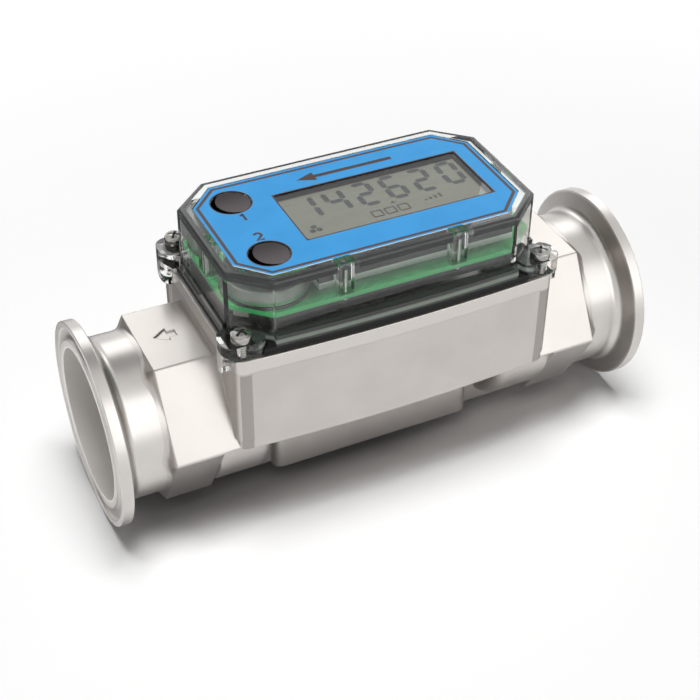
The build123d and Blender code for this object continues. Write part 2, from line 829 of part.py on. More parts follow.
def lcd_reflector():
    """The white reflector plate on the board."""
    return raised(display_outline(0), board_top_z, frame_bottom_z)


def display_frame():
    """The dark frame around the display glass, with the window in its top."""
    frame = raised(display_outline(0), frame_bottom_z, frame_top_z)
    frame = frame - raised(display_outline(frame_wall), frame_bottom_z - 1, frame_top_z - frame_plate)
    window = Pos(window_center_x, 0, 0) * Rectangle(
        window_length - 2 * window_frame_margin, window_width - 2 * window_frame_margin,
    )
    return frame - raised(window, frame_bottom_z, frame_top_z + 1)


def lcd_glass():
    """The liquid crystal glass."""
    glass = Pos(display_center_x, 0, 0) * Rectangle(
        display_length - 2 * (frame_wall + glass_side_gap), glass_width,
    )
    return raised(glass, glass_top_z - glass_thickness, glass_top_z)


def connector_strips():
    """The two elastomer strips between the board's pads and the glass."""
    length = display_length - 2 * (frame_wall + strip_end_gap)
    strip = raised(Rectangle(length, strip_width), frame_bottom_z, glass_top_z - glass_thickness)
    y = glass_width / 2 - strip_inset - strip_width / 2
    return Compound([Pos(display_center_x, side * y, 0) * strip for side in (-1, 1)])


def cell_places():
    """The centres of the two coin cells."""
    return [Pos(cell_x, side * cell_spacing / 2, 0) for side in (-1, 1)]


def coin_cells():
    """Two coin cells lying flat side by side."""
    cell = raised(Circle(cell_radius), cell_bottom_z, cell_bottom_z + cell_height)
    cell = chamfer(cell.edges().filter_by(GeomType.CIRCLE), cell_edge_chamfer)
    return Compound([place * cell for place in cell_places()])


def cell_holder():
    """The moulded tray that keeps the cells off the board, with a low rim on the open side."""
    floor = None
    rim_radius_in = cell_radius + cell_holder_gap
    board_area = inset_octagon(cover_wall + board_clearance)
    for place in cell_places():
        disc = place * Circle(rim_radius_in)
        floor = disc if floor is None else floor + disc
    keep = Pos(cell_x - cell_holder_shift, 0, 0) * Rectangle(cell_diameter, 2 * cell_diameter + 2)
    floor = (floor & board_area) & keep
    for x in spacer_places():
        floor = floor - Pos(x, 0, 0) * Circle(spacer_diameter / 2 + cell_holder_gap)
    return raised(floor, board_top_z, cell_bottom_z)


def cell_contacts():
    """The sprung straps that press on the cells."""
    top = cell_bottom_z + cell_height
    strap = raised(Rectangle(contact_length, contact_width), top, top + contact_thickness)
    return Compound([place * strap for place in cell_places()])


def electronics_tray():
    """The dark tray of potted parts that hangs under the board."""
    outline = RectangleRounded(tray_length, tray_width, tray_corner_radius)
    inner = RectangleRounded(
        tray_length - 2 * tray_wall, tray_width - 2 * tray_wall, tray_corner_radius - tray_wall / 2,
    )
    tray = raised(outline, board_bottom_z - tray_depth, board_bottom_z)
    tray = tray - raised(inner, board_bottom_z - tray_depth + tray_wall, board_bottom_z + 1)
    for side in (-1, 1):
        hole = raised(Circle(lead_hole_diameter / 2), board_bottom_z - tray_depth - 1, board_bottom_z)
        tray = tray - Pos(side * lead_spacing / 2, 0, 0) * hole
    return tray


def hanging(outline, height):
    """A flat outline carried down from the board's underside."""
    return raised(outline, board_bottom_z - height, board_bottom_z)


def terminal():
    """A pale terminal block under the board, along the front left cut corner."""
    inset = cover_wall + board_clearance + terminal_edge_gap + terminal_width / 2
    block = hanging(Rectangle(terminal_length, terminal_width), terminal_height)
    along_corner = Pos((cover_corner_x - cover_length) / 2, (cover_corner_y - cover_width) / 2, 0)
    along_corner = along_corner * Rot(0, 0, -cover_corner_angle)
    return along_corner * Pos(-terminal_shift, inset, 0) * block


def board_parts():
    """The controller, the crystal, two capacitors and a terminal on the underside of the board."""
    chip = Pos(chip_x, 0, 0) * hanging(Rectangle(chip_size, chip_size), chip_height)
    can = SlotOverall(crystal_length, crystal_width)
    crystal = Pos(crystal_x, crystal_y, 0) * hanging(can, crystal_height)
    capacitor = hanging(Circle(capacitor_diameter / 2), capacitor_height)
    capacitors = [Pos(capacitor_x, y, 0) * capacitor for y in capacitor_y]
    return Compound([chip, crystal, *capacitors, terminal()])


def cover_screws():
    """Four pan-head screws with a cross recess."""
    shank = raised(Circle(screw_diameter / 2), ear_top_z - screw_length, ear_top_z)
    head = raised(Circle(screw_head_diameter / 2), ear_top_z, ear_top_z + screw_head_height)
    head = chamfer(head.edges().group_by(Axis.Z)[-1], screw_head_chamfer)
    screw = head + shank
    top = ear_top_z + screw_head_height
    for turn in (0, 90):
        slot = Rot(0, 0, turn) * Rectangle(screw_cross_length, screw_cross_width)
        screw = screw - raised(slot, top - screw_cross_depth, top + 1)
    return Compound([place * screw for place in at_corners(screw_spacing_x, screw_spacing_y)])


def at_outlet(piece):
    """The same piece at the -X end."""
    return mirror(piece, Plane.YZ)


pieces = {
    "meter_body": meter_body(),
    "inlet_ferrule": ferrule(),
    "outlet_ferrule": at_outlet(ferrule()),
    "upstream_support": support(),
    "downstream_support": at_outlet(support()),
    "upstream_bearing": bearing(),
    "downstream_bearing": at_outlet(bearing()),
    "upstream_retaining_ring": retaining_ring(),
    "downstream_retaining_ring": at_outlet(retaining_ring()),
    "turbine_rotor": turbine_rotor(),
    "rotor_shaft": rotor_shaft(),
    "rotor_magnets": rotor_magnets(),
    "coil_bobbin": coil_bobbin(),
    "coil_winding": coil_winding(),
    "coil_core": coil_core(),
    "coil_leads": coil_leads(),
    "cover_gasket": cover_gasket(),
    "computer_cover": computer_cover(),
    "face_label": face_label(),
    "rate_button": button(1),
    "total_button": button(-1),
    "switch_domes": switch_domes(),
    "switch_board": switch_board(),
    "board_spacers": board_spacers(),
    "circuit_board": circuit_board(),
    "module_screws": module_screws(),
    "lcd_reflector": lcd_reflector(),
    "display_frame": display_frame(),
    "lcd_glass": lcd_glass(),
    "connector_strips": connector_strips(),
    "coin_cells": coin_cells(),
    "cell_holder": cell_holder(),
    "cell_contacts": cell_contacts(),
    "electronics_tray": electronics_tray(),
    "board_parts": board_parts(),
    "cover_screws": cover_screws(),
}

os.makedirs("parts", exist_ok=True)
for name, piece in pieces.items():
    export_step(Pos(0, 0, rim_radius) * piece, "parts/" + name + ".step")
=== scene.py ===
import math
import bmesh
import bpy
import numpy as np
from mathutils import Matrix


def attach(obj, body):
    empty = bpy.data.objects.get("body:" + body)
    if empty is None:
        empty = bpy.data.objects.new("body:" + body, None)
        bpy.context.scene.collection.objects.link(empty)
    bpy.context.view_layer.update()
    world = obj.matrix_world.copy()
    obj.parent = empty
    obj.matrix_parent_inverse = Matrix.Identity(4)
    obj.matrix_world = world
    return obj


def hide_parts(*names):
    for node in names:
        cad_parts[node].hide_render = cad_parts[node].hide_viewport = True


# Turbine flow meter: camera, light, finishes, and the pieces that are finer than the solids.
# Sizes are in mm about the axis of the flow tube, and become metres when a mesh is made.

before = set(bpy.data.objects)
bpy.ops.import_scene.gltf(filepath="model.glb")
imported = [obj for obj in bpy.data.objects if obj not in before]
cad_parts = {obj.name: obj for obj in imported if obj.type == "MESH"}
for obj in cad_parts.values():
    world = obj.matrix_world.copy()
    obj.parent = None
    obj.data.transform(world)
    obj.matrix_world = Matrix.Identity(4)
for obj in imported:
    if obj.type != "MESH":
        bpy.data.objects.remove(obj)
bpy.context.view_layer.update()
mm = 0.001
axisHeight = 32.0  # the flow axis above the ground
buttonPlace = (-34.5, 14.5)  # x and y of the rate button; the total button lies at the same x and at -y
scene = bpy.context.scene
scene.view_settings.view_transform = "Standard"
print("frame loaded,", len(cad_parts), "nodes")


def paint(red, green, blue):  # a screen colour, 0 to 255, as the linear colour that a socket takes
    share = np.array([red, green, blue]) / 255
    linear = np.where(share > 0.04045, ((share + 0.055) / 1.055) ** 2.4, share / 12.92)
    return (*[float(value) for value in linear], 1.0)


class Wire:
    # A socket that can be used in sums: each operator adds its Math node.
    def __init__(self, look, socket):
        self.look = look
        self.socket = socket

    def side(self, name):  # another output of the same node
        return Wire(self.look, self.socket.node.outputs[name])

    def __add__(self, other):
        return self.look.math("ADD", self, other)

    def __sub__(self, other):
        return self.look.math("SUBTRACT", self, other)

    def __rsub__(self, other):
        return self.look.math("SUBTRACT", other, self)

    def __mul__(self, other):
        return self.look.math("MULTIPLY", self, other)

    def __abs__(self):
        return self.look.math("ABSOLUTE", self)

    __radd__ = __add__
    __rmul__ = __mul__

    def least(self, other):
        return self.look.math("MINIMUM", self, other)

    def most(self, other):
        return self.look.math("MAXIMUM", self, other)

    def root(self):
        return self.look.math("SQRT", self)

    def rises(self, start, end):  # 0 up to start, 1 from end on, smooth between
        limits = {"Value": self, "From Min": start, "From Max": end}
        return self.look.node("MapRange", {"interpolation_type": "SMOOTHSTEP"}, limits)

    def falls(self, start, end):  # 1 up to start, 0 from end on
        return 1 - self.rises(start, end)

    def within(self, low, high, soft=0.06):  # 1 between two values, with soft ends
        return self.rises(low - soft, low + soft) * self.falls(high - soft, high + soft)


class Look:
    # A material or world being made, with one method that adds any node.
    def __init__(self, owner, ending="OutputMaterial"):
        self.owner = owner if not isinstance(owner, str) else bpy.data.materials.new(owner)
        self.owner.use_nodes = True
        self.tree = self.owner.node_tree
        self.tree.nodes.clear()
        self.ending = self.tree.nodes.new("ShaderNode" + ending)

    def node(self, kind, settings=None, values=None, out=0):
        made = self.tree.nodes.new("ShaderNode" + kind)
        for key, setting in (settings or {}).items():
            setattr(made, key, setting)
        for key, value in (values or {}).items():
            if isinstance(value, Wire):
                self.tree.links.new(value.socket, made.inputs[key])
            else:
                made.inputs[key].default_value = value
        return Wire(self, made.outputs[out])

    def math(self, operation, *values):
        return self.node("Math", {"operation": operation}, dict(enumerate(values)))

    def place(self):  # x, y and z in mm about the flow axis
        split = self.node("SeparateXYZ", None, {0: self.node("TexCoord", out="Object")})
        return split.side("X") * 1000, split.side("Y") * 1000, split.side("Z") * 1000 - axisHeight

    def vector(self, x, y, z):
        return self.node("CombineXYZ", None, {0: x, 1: y, 2: z})

    def noise(self, size, detail=2.0, at=None):  # cloudy values near 0.5; size of one cloud in mm
        scale = 1 / size if at else 1000 / size  # a given place is in mm already
        at = at or self.node("TexCoord", out="Object")
        return self.node("TexNoise", None, {"Vector": at, "Scale": scale, "Detail": detail})

    def blend(self, factor, first, second):  # two colours
        return self.node("Mix", {"data_type": "RGBA"}, {0: factor, 6: first, 7: second}, out=2)

    def mottle(self, cloud, darker, color, spread=0.2):  # two paints in soft clouds
        return self.blend(cloud.rises(0.5 - spread, 0.5 + spread), paint(*darker), paint(*color))

    def bump(self, height, depth, normal=None):  # height 0 to 1 stands for a depth in mm
        values = {"Height": height, "Distance": depth * mm}
        if normal:
            values["Normal"] = normal
        return self.node("Bump", None, values)

    def softEdges(self, radius):  # rounds the shading of sharp edges
        return self.node("Bevel", {"samples": 4}, {"Radius": radius * mm})

    def surface(self, **values):
        names = {key.replace("_", " "): value for key, value in values.items()}
        return self.node("BsdfPrincipled", None, names)

    def finish(self, shader):
        self.tree.links.new(shader.socket, self.ending.inputs["Surface"])
        return self.owner


def fromMiddle(a, b):  # how far a point lies from the middle, of its ways along two axes
    return (a * a + b * b).root()


def uneven(value, noise, spread=0.1):  # a value that wanders with a noise, by half the spread either way
    return value + (noise - 0.5) * spread


def steelLook(name, finish):
    # Metal with a soft grain: clouds tint the colour and the roughness, fine grain raises the skin,
    # and rings along the turning direction where the piece was turned about the flow axis.
    look = Look(name)
    x, y, z = look.place()
    cloud = look.noise(finish["cloudSize"], 3.0)
    grain = look.noise(finish["grainSize"], 1.0)
    color = look.mottle(cloud, finish["darker"], finish["color"])
    roughness = uneven(finish["roughness"], cloud, finish["unevenness"])
    height = grain
    metal = 1.0
    edge = look.softEdges(finish["edge"]) if finish.get("edge") else None
    if finish.get("band"):  # a level strip painted in another colour: the cells' painted reflection of the board, the casting's lip painted lighter
        color = look.blend(z.within(*finish["band"]), color, paint(*finish["bandColor"]))
    if finish.get("corner"):  # the rounded upright corners are painted darker, as painted shade
        corner = (abs(x) + abs(y)).rises(*finish["corner"]) * z.falls(*finish["cornerTop"])
        corner = corner * abs(x).within(*finish["cornerAlong"])
        color = look.blend(corner, color, paint(*finish["cornerShade"]))
    if finish.get("flange"):  # the sloped back of the clamp flange is painted darker, as painted shade
        flange = fromMiddle(y, z).within(*finish["flange"], soft=0.4) * abs(x).falls(*finish["flangeEnd"])
        color = look.blend(flange, color, paint(*finish["flangeShade"]))
    if finish.get("rings"):
        lines = look.noise(finish["rings"], 3.0, look.vector(x, fromMiddle(y, z), 0.0))
        height = lines * 0.7 + grain * 0.3
    if finish.get("bore"):  # the passage is rougher and less metallic, and painted paler as painted light
        passage = fromMiddle(y, z).falls(*finish["bore"])
        color = look.blend(passage, color, paint(*finish["boreColor"]))
        metal = 1 - passage * (1 - finish["boreMetal"])
        roughness = roughness + passage * (finish["boreRoughness"] - finish["roughness"])
    return look.finish(look.surface(
        Base_Color=color, Metallic=metal, Roughness=roughness,
        Normal=look.bump(height, finish["depth"], edge),
    ))


def plasticLook(name, finish):
    # Moulded plastic or rubber: a faint mottle in the colour and a fine moulding texture.
    look = Look(name)
    cloud = look.noise(finish.get("cloudSize", 6.0), 2.0)
    grain = look.noise(0.5, 2.0)
    return look.finish(look.surface(
        Base_Color=look.mottle(cloud, finish["darker"], finish["color"]),
        Roughness=uneven(finish["roughness"], grain),
        Normal=look.bump(grain, finish.get("depth", 0.01)),
    ))


castFinish = {
    "color": (197, 192, 188), "darker": (191, 186, 182), "roughness": 0.33, "unevenness": 0.06,
    "cloudSize": 14.0, "grainSize": 0.5, "depth": 0.008, "edge": 0.5,
    "band": (28.7, 33.4), "bandColor": (207, 202, 198),  # the housing's lip, painted lighter than the rest of the casting
    # the rounded upright corners of the housing are painted darker, as painted shade
    "corner": (76.9, 78.6), "cornerTop": (27.8, 28.4), "cornerAlong": (47.5, 51.0),
    "cornerShade": (160, 155, 151),
}
turnedFinish = {
    "color": (207, 203, 199), "darker": (198, 194, 190), "roughness": 0.31, "unevenness": 0.08,
    "cloudSize": 18.0, "grainSize": 0.4, "depth": 0.010, "rings": 0.35,
    # the flange's sloped back is painted darker, as painted shade
    "flange": (26.6, 31.4), "flangeEnd": (87.6, 88.2), "flangeShade": (168, 163, 159),
    # the passage is painted paler, as painted light inside the bore
    "bore": (24.2, 24.4), "boreColor": (236, 232, 228), "boreRoughness": 0.45, "boreMetal": 0.4,
}
supportFinish = {
    "color": (178, 176, 174), "darker": (160, 158, 156), "roughness": 0.38, "unevenness": 0.1,
    "cloudSize": 8.0, "grainSize": 0.4, "depth": 0.012, "rings": 0.3,
}
brightFinish = {
    "color": (206, 203, 198), "darker": (186, 182, 178), "roughness": 0.17, "unevenness": 0.08,
    "cloudSize": 1.5, "grainSize": 0.3, "depth": 0.006,
}
carbideFinish = {
    "color": (128, 128, 132), "darker": (112, 112, 116), "roughness": 0.2, "unevenness": 0.05,
    "cloudSize": 3.0, "grainSize": 0.2, "depth": 0.003,
}
magnetFinish = {
    "color": (92, 92, 94), "darker": (74, 74, 76), "roughness": 0.5, "unevenness": 0.1,
    "cloudSize": 1.0, "grainSize": 0.15, "depth": 0.01,
}
copperFinish = {
    "color": (196, 118, 66), "darker": (160, 88, 44), "roughness": 0.28, "unevenness": 0.1,
    "cloudSize": 0.8, "grainSize": 0.25, "depth": 0.03,
}
cellFinish = {  # the foot of the cells is painted green, a painted reflection of the board
    "band": (44.9, 46.6), "bandColor": (92, 140, 104),
    "color": (136, 142, 134), "darker": (122, 129, 121), "roughness": 0.42, "unevenness": 0.08,
    "cloudSize": 4.0, "grainSize": 0.3, "depth": 0.008,
}
rotorFinish = {"color": (226, 221, 208), "darker": (217, 211, 197), "roughness": 0.45}
ceramicFinish = {"color": (240, 238, 232), "darker": (232, 229, 221), "roughness": 0.18, "depth": 0.003}
darkFinish = {"color": (44, 44, 44), "darker": (36, 36, 37), "roughness": 0.5}
trayFinish = {"color": (70, 70, 70), "darker": (62, 62, 62), "roughness": 0.5}
bobbinFinish = {"color": (38, 38, 40), "darker": (30, 30, 32), "roughness": 0.42}
gasketFinish = {"color": (18, 18, 18), "darker": (13, 13, 13), "roughness": 0.8, "depth": 0.02}
nylonFinish = {"color": (226, 226, 218), "darker": (214, 214, 204), "roughness": 0.45}
whiteFinish = {"color": (250, 251, 247), "darker": (244, 246, 240), "roughness": 0.4}
stripFinish = {"color": (118, 118, 120), "darker": (86, 86, 88), "roughness": 0.7, "cloudSize": 0.6}
coverFinish = {
    "tint": (250, 252, 251), "through": (252, 253, 252), "roughness": 0.0, "ior": 1.49, "level": 0.15,
    "rippleSize": 5.0, "rippleDepth": 0.004, "denseRoughness": 0.16,
    "halfSize": (50.25, 28.45), "corner": (11.2, 10.4),  # the walls' eight-sided outline
    # the band and the foot are painted dark, as painted shade; the back strip and the foot's light stripe
    # are painted highlights
    "bandHeight": (53.2, 53.6), "bandWidth": (2.0, 2.3), "band": (40, 42, 41), "bandShare": 0.92,
    "bosses": (-16.2, 20.5), "bossHalf": (3.1, 3.6),
    "backFrom": (20.0, 20.5), "lineWidth": (1.9, 2.1), "backHighlight": (236, 238, 236),
    "footTop": (38.4, 38.8), "footReach": (44.0, 47.0), "foot": (52, 56, 52), "footShare": 0.85,
    "footHighlightHeight": (35.8, 37.2), "footLight": (150, 162, 150),
}


def insideOutline(x, y, halfSize, corner):
    # How far a point lies inside an eight-sided outline: the least of its distances to the sides and
    # to the cut corners.
    inX = halfSize[0] - abs(x)
    inY = halfSize[1] - abs(y)
    slope = (inX * corner[1] + inY * corner[0] - corner[0] * corner[1]) * (1 / math.hypot(*corner))
    return inX.least(inY).least(slope)


def coverLook():
    # Clear smoke-tinted moulding, painted dark under the edge of its face and along its foot, a painted
    # shade for where one looks through it lengthwise, with painted highlights along the back and along
    # the foot. Light for what is inside passes straight, so that the inside stays lit.
    c = coverFinish
    look = Look("clearCover")
    x, y, z = look.place()
    inside = insideOutline(x, y, c["halfSize"], c["corner"])
    back = y.rises(*c["backFrom"])  # at the back only a line is painted dark, the rest is a painted highlight
    edge = inside.falls(*c["bandWidth"])
    line = inside.falls(*c["lineWidth"])
    rim = z.rises(*c["bandHeight"]) * (edge * (1 - back) + back)
    light = back * (1 - line)
    for place in c["bosses"]:  # at the front the band stops at the screw bosses
        rim = rim * abs(x - place).rises(*c["bossHalf"]).most(back)
    foot = z.falls(*c["footTop"]) * abs(x).falls(*c["footReach"])
    # a painted highlight along the middle of the foot
    footGlint = z.within(*c["footHighlightHeight"], soft=0.4)
    footColor = look.blend(footGlint, paint(*c["foot"]), paint(*c["footLight"]))
    frontColor = look.blend(foot, paint(*c["band"]), footColor)
    ripple = look.noise(c["rippleSize"], 1.0)
    wave = look.bump(ripple, c["rippleDepth"])
    glass = look.surface(
        Base_Color=paint(*c["tint"]), Roughness=c["roughness"], IOR=c["ior"], Transmission_Weight=1.0,
        Specular_IOR_Level=c["level"], Normal=wave,
    )
    dense = look.surface(
        Base_Color=look.blend(light, frontColor, paint(*c["backHighlight"])),
        Roughness=c["denseRoughness"] + ripple * 0.04, Normal=wave,
    )
    share = (rim * c["bandShare"]).most(foot * c["footShare"])
    body = look.node("MixShader", None, {0: share, 1: glass, 2: dense})
    through = look.node("BsdfTransparent", None, {"Color": paint(*c["through"])})
    path = look.node("LightPath", out="Is Shadow Ray")
    lit = path.most(path.side("Is Diffuse Ray"))
    return look.finish(look.node("MixShader", None, {0: lit, 1: body, 2: through}))


labelPrint = {
    "film": (58, 150, 212), "filmDarker": (54, 145, 207), "ink": (76, 64, 64), "back": (224, 226, 222),
    "roughness": 0.42,
    "halfSize": (46.05, 24.5), "corner": (8.3, 8.7), "border": (0.75, 1.75),
    "windowCenter": 8.8, "windowHalf": (30.6, 12.7), "windowLine": (-0.5, 0.45), "holeLine": (5.5, 6.45),
}


def labelLook():
    # Printed film: the ink follows the eight-sided edge, the window and the two button holes, each
    # from the distance of the point to that outline. The film's back is paler.
    p = labelPrint
    look = Look("blueLabel")
    x, y, z = look.place()
    border = insideOutline(x, y, p["halfSize"], p["corner"]).within(*p["border"])
    windowX = abs(x - p["windowCenter"]) - p["windowHalf"][0]
    windowY = abs(y) - p["windowHalf"][1]
    window = windowX.most(windowY).within(*p["windowLine"])
    hole = fromMiddle(x - buttonPlace[0], abs(y) - buttonPlace[1]).within(*p["holeLine"])
    ink = border.most(window).most(hole)
    film = look.mottle(look.noise(9.0, 2.0), p["filmDarker"], p["film"])
    grain = look.noise(0.25, 1.0)
    upward = look.node("SeparateXYZ", None, {0: look.node("NewGeometry", out="Normal")}).side("Z")
    printed = look.blend(ink, film, paint(*p["ink"]))
    return look.finish(look.surface(
        Base_Color=look.blend(upward.rises(-0.5, 0.0), paint(*p["back"]), printed), Specular_IOR_Level=0.2,
        Roughness=uneven(p["roughness"], grain), Normal=look.bump(ink * 0.6 + grain * 0.15, 0.02),
    ))


boardFinish = {
    "mask": (34, 142, 74), "maskDarker": (24, 126, 64), "edge": (50, 184, 100), "roughness": 0.32,
    "maskShaded": (52, 196, 104), "shadedTo": (16.0, 25.0),
    "trace": (44, 152, 84), "traceHalf": 0.045, "traceScale": 0.22,
}


def boardLook():
    # Green solder mask over copper: straight traces show as paler lines and the sawn edge is paler. The
    # middle, which lies in the shade of the display, is painted lighter, a painted light against that shade.
    b = boardFinish
    look = Look("boardGreen")
    x, y, z = look.place()
    cloud = look.noise(5.0, 2.0)
    cells = {"Vector": look.vector(x, y, 0.0), "Scale": b["traceScale"]}
    border = look.node("TexVoronoi", {"feature": "DISTANCE_TO_EDGE"}, cells)
    trace = border.within(-0.1, b["traceHalf"], soft=0.02)
    normal = look.node("SeparateXYZ", None, {0: look.node("NewGeometry", out="Normal")})
    side = abs(normal.side("Z")).falls(0.3, 0.7)
    mask = look.mottle(cloud, b["maskDarker"], b["mask"])
    # painted light: the middle of the mask is painted lighter
    mask = look.blend(abs(y).falls(*b["shadedTo"]), mask, paint(*b["maskShaded"]))
    color = look.blend(trace, mask, paint(*b["trace"]))
    color = look.blend(side, color, paint(*b["edge"]))
    return look.finish(look.surface(
        Base_Color=color, Roughness=uneven(b["roughness"], cloud), Normal=look.bump(trace, 0.03),
    ))


displayFinish = {
    "glass": (117, 117, 103), "ghost": (112, 113, 100), "rim": (92, 94, 78), "roughness": 0.3, "level": 0.1,
    "middleX": 9.3, "rimX": (29.2, 30.4), "rimY": (15.4, 16.4),
}


def displayLook():
    # Liquid crystal glass: a smooth olive grey with faint bands, paler in the middle than at its rim.
    d = displayFinish
    look = Look("displayGrey")
    x, y, z = look.place()
    bands = look.noise(2.0, 1.0, look.vector(x * 0.1, y, 0.0))
    glass = look.mottle(bands, d["ghost"], d["glass"], 0.1)
    edge = abs(x - d["middleX"]).rises(*d["rimX"]).most(abs(y).rises(*d["rimY"]))
    grain = look.noise(0.3, 1.0)
    return look.finish(look.surface(
        Base_Color=look.blend(edge, glass, paint(*d["rim"])), Specular_IOR_Level=d["level"],
        Roughness=uneven(d["roughness"], grain, 0.06), Normal=look.bump(grain, 0.004),
    ))


buttonFinish = {
    # near and far are the pad's painted shade; gap is the painted shadow round it, set off by the shift
    "near": (100, 95, 96), "far": (66, 62, 63), "fade": (-7.0, 7.0), "gap": (4, 3, 3), "padEdge": (6.0, 6.2),
    "shadowShift": (1.7, 0.5), "roughness": 0.34, "level": 0.0,
}


def buttonLook():
    # Rubber cap: a grey pad that lies to the right of the cap's middle, painted paler towards the front and
    # darker towards the back as painted shade, and black round it, a painted shadow of the hole's rim that
    # falls as a crescent at the left and front. The back button's y is moved onto the front one's, so one
    # look serves both.
    b = buttonFinish
    look = Look("buttonRubber")
    x, y, z = look.place()
    acrossX = x - (buttonPlace[0] + b["shadowShift"][0])
    back = y.rises(-0.1, 0.1) * (2 * buttonPlace[1])
    acrossY = y + (buttonPlace[1] - b["shadowShift"][1]) - back
    # painted shadow: black round the shifted pad, a crescent at the left and front
    gap = fromMiddle(acrossX, acrossY).rises(*b["padEdge"])
    grain = look.noise(0.35, 2.0)
    # painted shade: paler at the front, darker at the back
    pad = look.blend(acrossY.rises(*b["fade"]), paint(*b["near"]), paint(*b["far"]))
    return look.finish(look.surface(
        Base_Color=look.blend(gap, pad, paint(*b["gap"])), Specular_IOR_Level=b["level"],
        Roughness=uneven(b["roughness"], grain), Normal=look.bump(grain, 0.006),
    ))


partsFinish = {
    "color": (48, 48, 49), "darker": (38, 38, 39), "roughness": 0.5,
    "terminal": (150, 150, 142), "terminalX": (-36.0, -34.0), "terminalY": (-15.0, -12.0),
}


def partsLook():
    # Black moulded chips on the board, with the one pale terminal at the front left corner.
    p = partsFinish
    look = Look("chipBlack")
    x, y, z = look.place()
    terminal = x.falls(*p["terminalX"]) * y.falls(*p["terminalY"])
    grain = look.noise(0.4, 2.0)
    dark = look.mottle(grain, p["darker"], p["color"])
    return look.finish(look.surface(
        Base_Color=look.blend(terminal, dark, paint(*p["terminal"])),
        Roughness=uneven(p["roughness"], grain), Normal=look.bump(grain, 0.01),
    ))


looks = {
    "cast": steelLook("castStainless", castFinish),
    "turned": steelLook("turnedStainless", turnedFinish),
    "support": steelLook("supportStainless", supportFinish),
    "bright": steelLook("brightScrew", brightFinish),
    "carbide": steelLook("carbideShaft", carbideFinish),
    "magnet": steelLook("magnet", magnetFinish),
    "copper": steelLook("copperWire", copperFinish),
    "cell": steelLook("cellSteel", cellFinish),
    "rotor": plasticLook("rotorPlastic", rotorFinish),
    "ceramic": plasticLook("ceramic", ceramicFinish),
    "dark": plasticLook("frameBlack", darkFinish),
    "tray": plasticLook("trayGrey", trayFinish),
    "bobbin": plasticLook("bobbinPlastic", bobbinFinish),
    "gasket": plasticLook("gasketRubber", gasketFinish),
    "nylon": plasticLook("spacerNylon", nylonFinish),
    "white": plasticLook("reflectorWhite", whiteFinish),
    "strip": plasticLook("stripRubber", stripFinish),
    "button": buttonLook(),
    "cover": coverLook(),
    "label": labelLook(),
    "board": boardLook(),
    "display": displayLook(),
    "parts": partsLook(),
}
nodeLooks = {
    "meter_body": "cast", "inlet_ferrule": "turned", "outlet_ferrule": "turned",
    "upstream_support": "support", "downstream_support": "support",
    "upstream_retaining_ring": "support", "downstream_retaining_ring": "support",
    "turbine_rotor": "rotor", "upstream_bearing": "ceramic", "downstream_bearing": "ceramic",
    "rotor_shaft": "carbide", "rotor_magnets": "magnet", "coil_bobbin": "bobbin",
    "coil_winding": "copper", "coil_core": "magnet", "coil_leads": "bright",
    "cover_gasket": "gasket", "computer_cover": "cover", "face_label": "label",
    "rate_button": "button", "total_button": "button", "switch_domes": "bright",
    "cell_contacts": "bright", "circuit_board": "board", "switch_board": "board",
    "board_spacers": "nylon", "cover_screws": "bright", "module_screws": "bright",
    "lcd_reflector": "white", "display_frame": "dark", "cell_holder": "dark",
    "electronics_tray": "tray", "lcd_glass": "display", "connector_strips": "strip",
    "coin_cells": "cell", "board_parts": "parts",
}
for node, look in nodeLooks.items():
    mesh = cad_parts[node].data
    mesh.materials.clear()
    mesh.materials.append(looks[look])
print("finishes given to", len(nodeLooks), "nodes")


def gridFaces(rows, columns, wrap):  # the quads of a grid; wrap joins the last column to the first
    row = np.arange(rows - 1)[:, None] * columns
    column = np.arange(columns if wrap else columns - 1)[None, :]
    after = (column + 1) % columns
    corners = [row + column, row + after, row + after + columns, row + column + columns]
    return np.stack(corners, -1).reshape(-1, 4)


def addPiece(name, points, faces, look, body, replaces=(), angle=35):
    # points in mm about the flow axis; doubles are merged and the faces turned outwards
    points = np.asarray(points, float).reshape(-1, 3) + (0, 0, axisHeight)
    mesh = bpy.data.meshes.new(name)
    mesh.from_pydata((points * mm).tolist(), [], [tuple(map(int, face)) for face in faces])
    work = bmesh.new()
    work.from_mesh(mesh)
    bmesh.ops.remove_doubles(work, verts=work.verts, dist=1e-7)
    bmesh.ops.recalc_face_normals(work, faces=work.faces)
    work.to_mesh(mesh)
    work.free()
    placePiece(name, mesh, look, body, replaces, angle)


def placePiece(name, mesh, look, body, replaces, angle):
    mesh.polygons.foreach_set("use_smooth", np.ones(len(mesh.polygons), bool))
    mesh.set_sharp_from_angle(angle=math.radians(angle))
    mesh.materials.clear()
    mesh.materials.append(looks[look])
    piece = bpy.data.objects.new(name, mesh)
    scene.collection.objects.link(piece)
    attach(piece, body)
    if replaces:
        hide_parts(*replaces)
    even = piece.modifiers.new("evenShading", "WEIGHTED_NORMAL")  # large faces keep their own direction
    even.mode = "FACE_AREA_WITH_ANGLE"
    even.weight = 100
    even.keep_sharp = True


def smoothCopy(name, node, look, body, angle=30, shape=None):
    # a merged copy of a CAD node, shaded smooth up to its edges; shape may move its points, in mm
    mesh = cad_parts[node].data.copy()
    mesh.name = name
    work = bmesh.new()
    work.from_mesh(mesh)
    bmesh.ops.remove_doubles(work, verts=work.verts, dist=1e-6)
    work.to_mesh(mesh)
    work.free()
    for attribute in [a for a in mesh.attributes if a.name == "custom_normal"]:
        mesh.attributes.remove(attribute)
    if shape:
        points = np.empty(len(mesh.vertices) * 3)
        mesh.vertices.foreach_get("co", points)
        points = points.reshape(-1, 3) / mm - (0, 0, axisHeight)
        mesh.vertices.foreach_set("co", ((shape(points) + (0, 0, axisHeight)) * mm).ravel())
    placePiece(name, mesh, look, body, (node,), angle)


